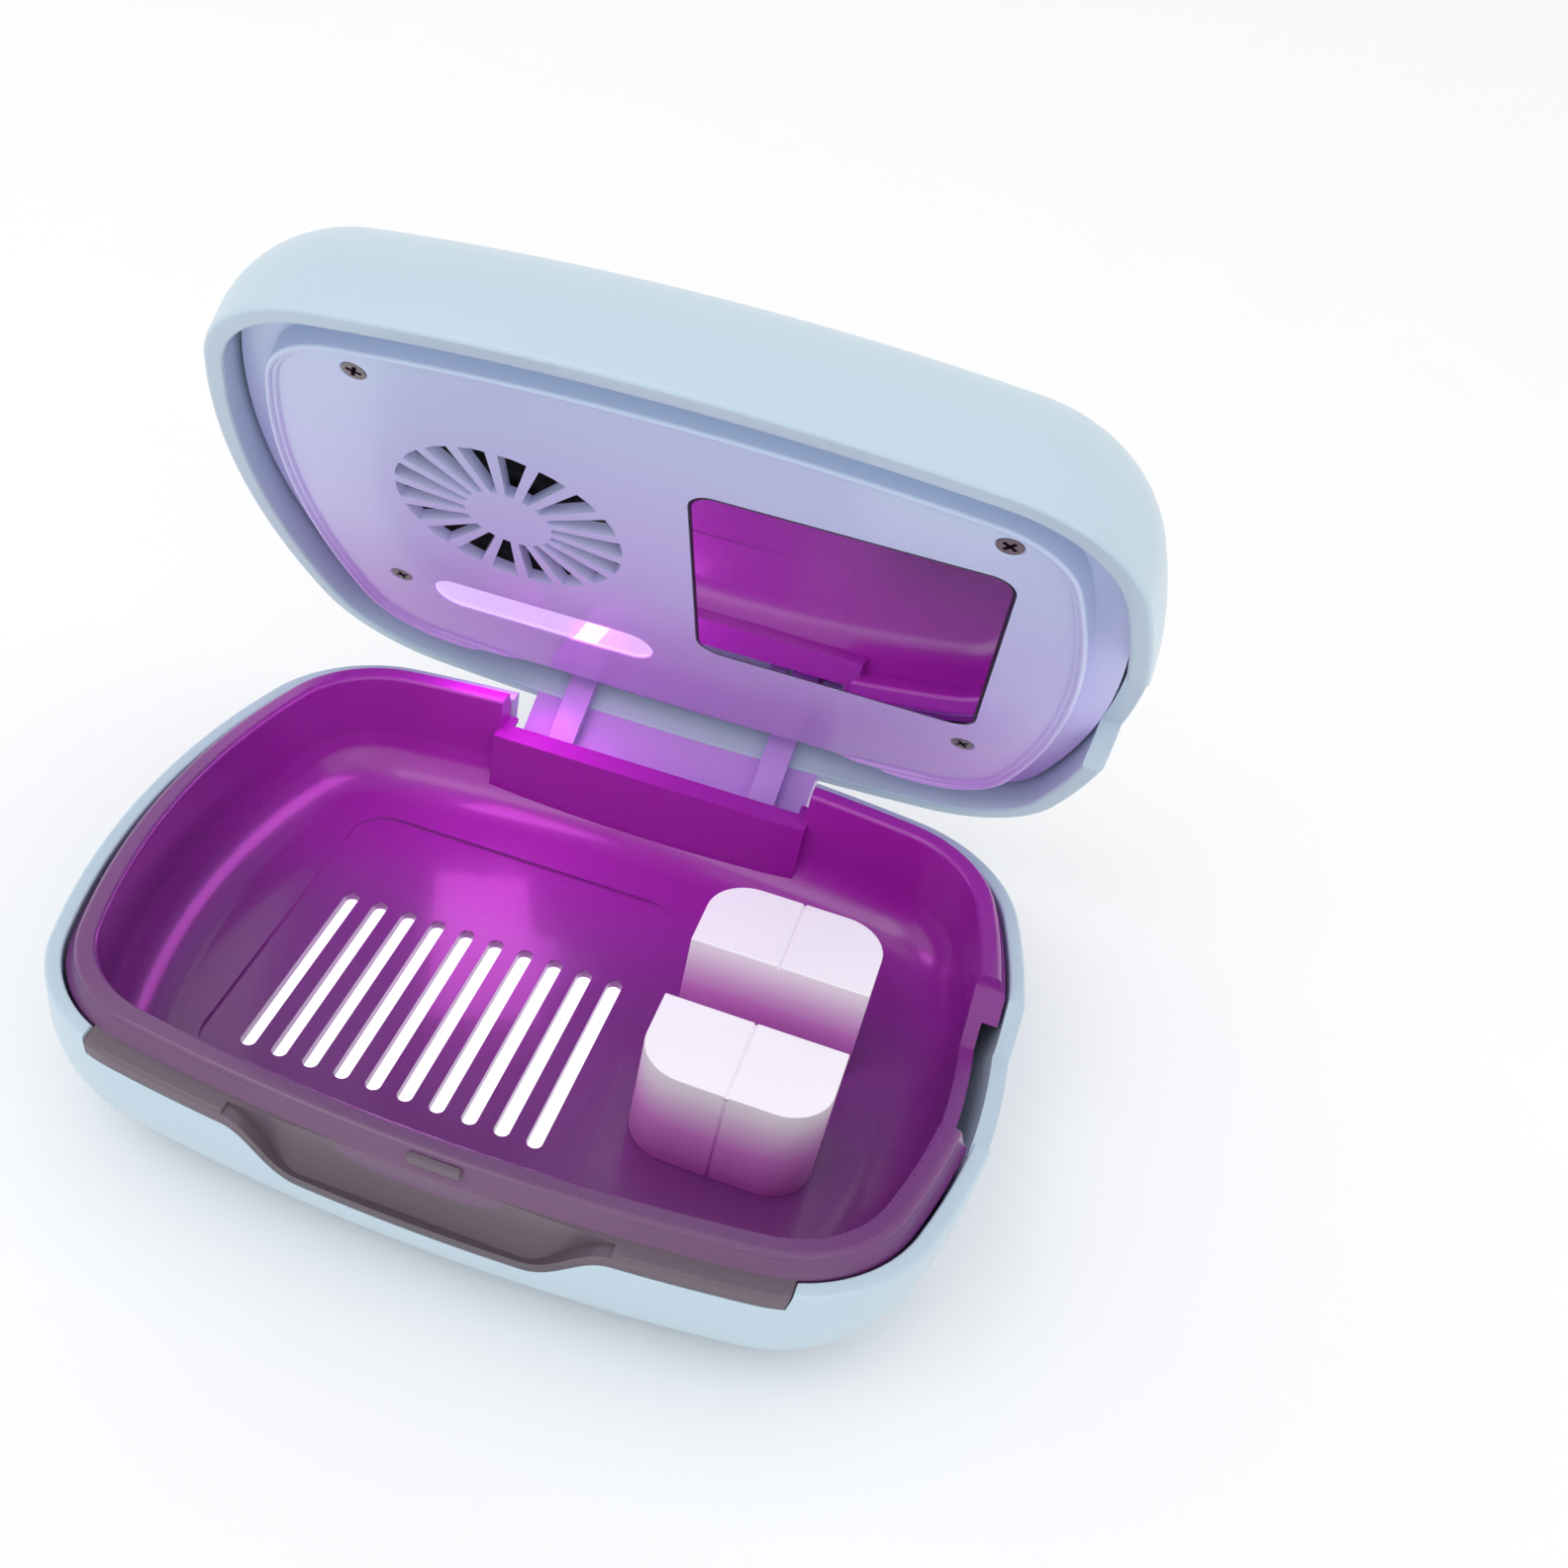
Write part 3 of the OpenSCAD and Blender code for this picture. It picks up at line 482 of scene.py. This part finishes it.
# ---- liner -----------------------------------------------------------
liner = put("liner_skin", loft(
    [(18, LINER)] + [(8.2, LINER), (7.9, RZ + 1.5)] + arc(7.1, RZ + 1.5, 0.4, 0, -180, 8)
    + [(6.7, RZ + 4.2), (2.9, RZ + 4.2), (2.9, RZ + 5.4), (7.9, RZ + 5.4), (7.9, LINER + LINER_T),
       (18, LINER + LINER_T)], False), True)
bm = bmesh.new()
prism(bm, [(-60, RZ - 1), (60, RZ - 1), (60, RZ + 4.2), (-60, RZ + 4.2)], 33.6, 53, "y")
cut(liner, put("cutter", bm, True))
bm = bmesh.new()
for i in range(18):
    a = 2 * math.pi * i / 18
    w = [(5.4, -0.45), (13.9, -1.7), (14.1, 0), (13.9, 1.7), (5.4, 0.45)]
    prism(bm, [(FAN[0] + u * math.cos(a) - v * math.sin(a), FAN[1] + u * math.sin(a) + v * math.cos(a))
               for u, v in w], LINER - 1, LINER + 3)
for x, y in SCREWS:
    cone(bm, x, y, LINER - 1, 2.62, LINER + 0.77, 0.85)
cut(liner, put("cutter", bm, True))
bm = bmesh.new()
prism(bm, round_rect(*MIRROR, 3, 10), LINER - 1, LINER + 0.9)
prism(bm, round_rect(*LAMP, 30.4, 6.8, 3.39, 12), LINER - 1, LINER + 1.2)
cut(liner, put("cutter", bm, True))
finish_mesh(liner, 0.1)
wear(liner, LINERM, "lid", "lid_liner")

for k, (x, y) in enumerate(SCREWS):
    bm = bmesh.new()
    cone(bm, x, y, LINER + 0.05, 1.4, LINER + 0.65, 0.8)
    sc = put("screw_%d" % k, bm, True)
    for mt in (NICKEL, DARK_RIM_AND_RECESS_SHADE):
        sc.data.materials.append(mt)
    for a in (20 + 17 * k, 110 + 17 * k):
        c, s_ = math.cos(math.radians(a)), math.sin(math.radians(a))
        bm = bmesh.new()
        prism(bm, [(x + u * c - v * s_, y + u * s_ + v * c)
                   for u, v in ((-0.9, -0.22), (0.9, -0.22), (0.9, 0.22), (-0.9, 0.22))],
              LINER - 1, LINER + 0.5)
        bar = put("cutter", bm, True)
        for mt in (NICKEL, DARK_RIM_AND_RECESS_SHADE):
            bar.data.materials.append(mt)
        # the faces of the cross recess take the dark material: painted shade in the recess
        for p in bar.data.polygons:
            p.material_index = 1
        cut(sc, bar)
    finish_mesh(sc, 0.05)
    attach(sc, "lid")
    if k == 0:
        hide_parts("liner_screws")

bm = bmesh.new()
prism(bm, round_rect(MIRROR[0], MIRROR[1], 35.0, 37.2, 2.9, 12), LINER + 0.1, LINER + 0.7)
edge = put("mirror_rim", bm, True)
finish_mesh(edge, 0.08)
wear(edge, DARK_RIM_AND_RECESS_SHADE, "lid")
bm = bmesh.new()
prism(bm, round_rect(MIRROR[0], MIRROR[1], 34.3, 36.5, 2.6, 12), LINER + 0.07, LINER + 0.4)
glass = put("mirror_glass", bm, True)
finish_mesh(glass)
wear(glass, MIRRORM, "lid", "mirror_pane")

# ---- pieces carried over from the frame ------------------------------
for node, mat in {"drip_plate": WHITE, "hinge_pin": STEEL, "friction_washers": STEEL, "mirror_tape": FOAM,
                  "fan_gasket": FOAM, "fan_frame": BLACK, "fan_coil": COPPER, "fan_bearing": BRASS,
                  "fan_rotor": BLACK, "fan_axle": STEEL, "lamp_window": LENS, "lamp_board": BOARD,
                  "uv_lamps": LED, "control_board": BOARD, "board_screws": NICKEL, "usb_socket": STEEL,
                  "usb_tongue": BLACK, "battery": FOIL, "battery_tape": AMBER, **WIRES}.items():
    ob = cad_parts[node]
    ob.data.materials.clear()
    ob.data.materials.append(mat)

# ---- floor, light and camera -----------------------------------------
bm = bmesh.new()
prism(bm, [(-3000, -3000), (3000, -3000), (3000, 3000), (-3000, 3000)], -3, -0.02)
floor = put("floor", bm)
fm = material("floor_white", 0.9, colour=(0.95, 0.95, 0.96), bump=0.0, vary=0.005)
floor.data.materials.append(fm)

world = bpy.data.worlds.new("studio")
bpy.context.scene.world = world
world.use_nodes = True
world.node_tree.nodes["Background"].inputs["Color"].default_value = (1.0, 1.0, 1.0, 1)
world.node_tree.nodes["Background"].inputs["Strength"].default_value = 0.97


def area(name, loc, aim, size, watts, colour=(1, 1, 1)):
    li = bpy.data.lights.new(name, "AREA")
    li.energy, li.size, li.color = watts, size, colour
    ob = bpy.data.objects.new(name, li)
    bpy.context.scene.collection.objects.link(ob)
    ob.location = Vector(loc)
    ob.rotation_mode = "QUATERNION"
    ob.rotation_quaternion = (Vector(aim) - ob.location).to_track_quat("-Z", "Y")
    return ob


area("key", (-0.35, -0.45, 0.75), (0, 0, 0.03), 0.5, 1.1)
area("fill", (0.6, -0.5, 0.4), (0, 0, 0.03), 0.6, 0.3)
lamp = LID @ Vector((LAMP[0] * MM, LAMP[1] * MM, (LINER - 1.5) * MM))
uv = area("uv_glow", lamp, (-0.005, 0.005, 0.008), 0.022, 0.009, (1.0, 0.15, 1.0))
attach(uv, "lid")

CAM_DIST = 0.19812                     # metres from the point aimed at
FOCAL = 38.609                         # millimetres, on a 36 mm sensor
SHIFT = (0.14444, 0.08971)             # puts that point left of and below the middle
cam = bpy.data.objects.new("camera", bpy.data.cameras.new("camera"))
bpy.context.scene.collection.objects.link(cam)
az, el, roll = 0.267, 0.742, 0.137     # in radians
back = Vector((math.sin(az) * math.cos(el), -math.cos(az) * math.cos(el), math.sin(el)))
right0 = Vector((math.cos(az), math.sin(az), 0))
up0 = back.cross(right0)
right = math.cos(roll) * right0 + math.sin(roll) * up0
up = -math.sin(roll) * right0 + math.cos(roll) * up0
at = Vector((0, 0, RZ * MM)) + back * CAM_DIST
cam.matrix_world = Matrix(((right.x, up.x, back.x, at.x), (right.y, up.y, back.y, at.y),
                           (right.z, up.z, back.z, at.z), (0, 0, 0, 1)))
cam.data.sensor_width = 36
cam.data.lens = FOCAL
cam.data.shift_x, cam.data.shift_y = SHIFT
cam.data.clip_start = 0.005
bpy.context.scene.camera = cam
bpy.context.scene.view_settings.view_transform = "Standard"
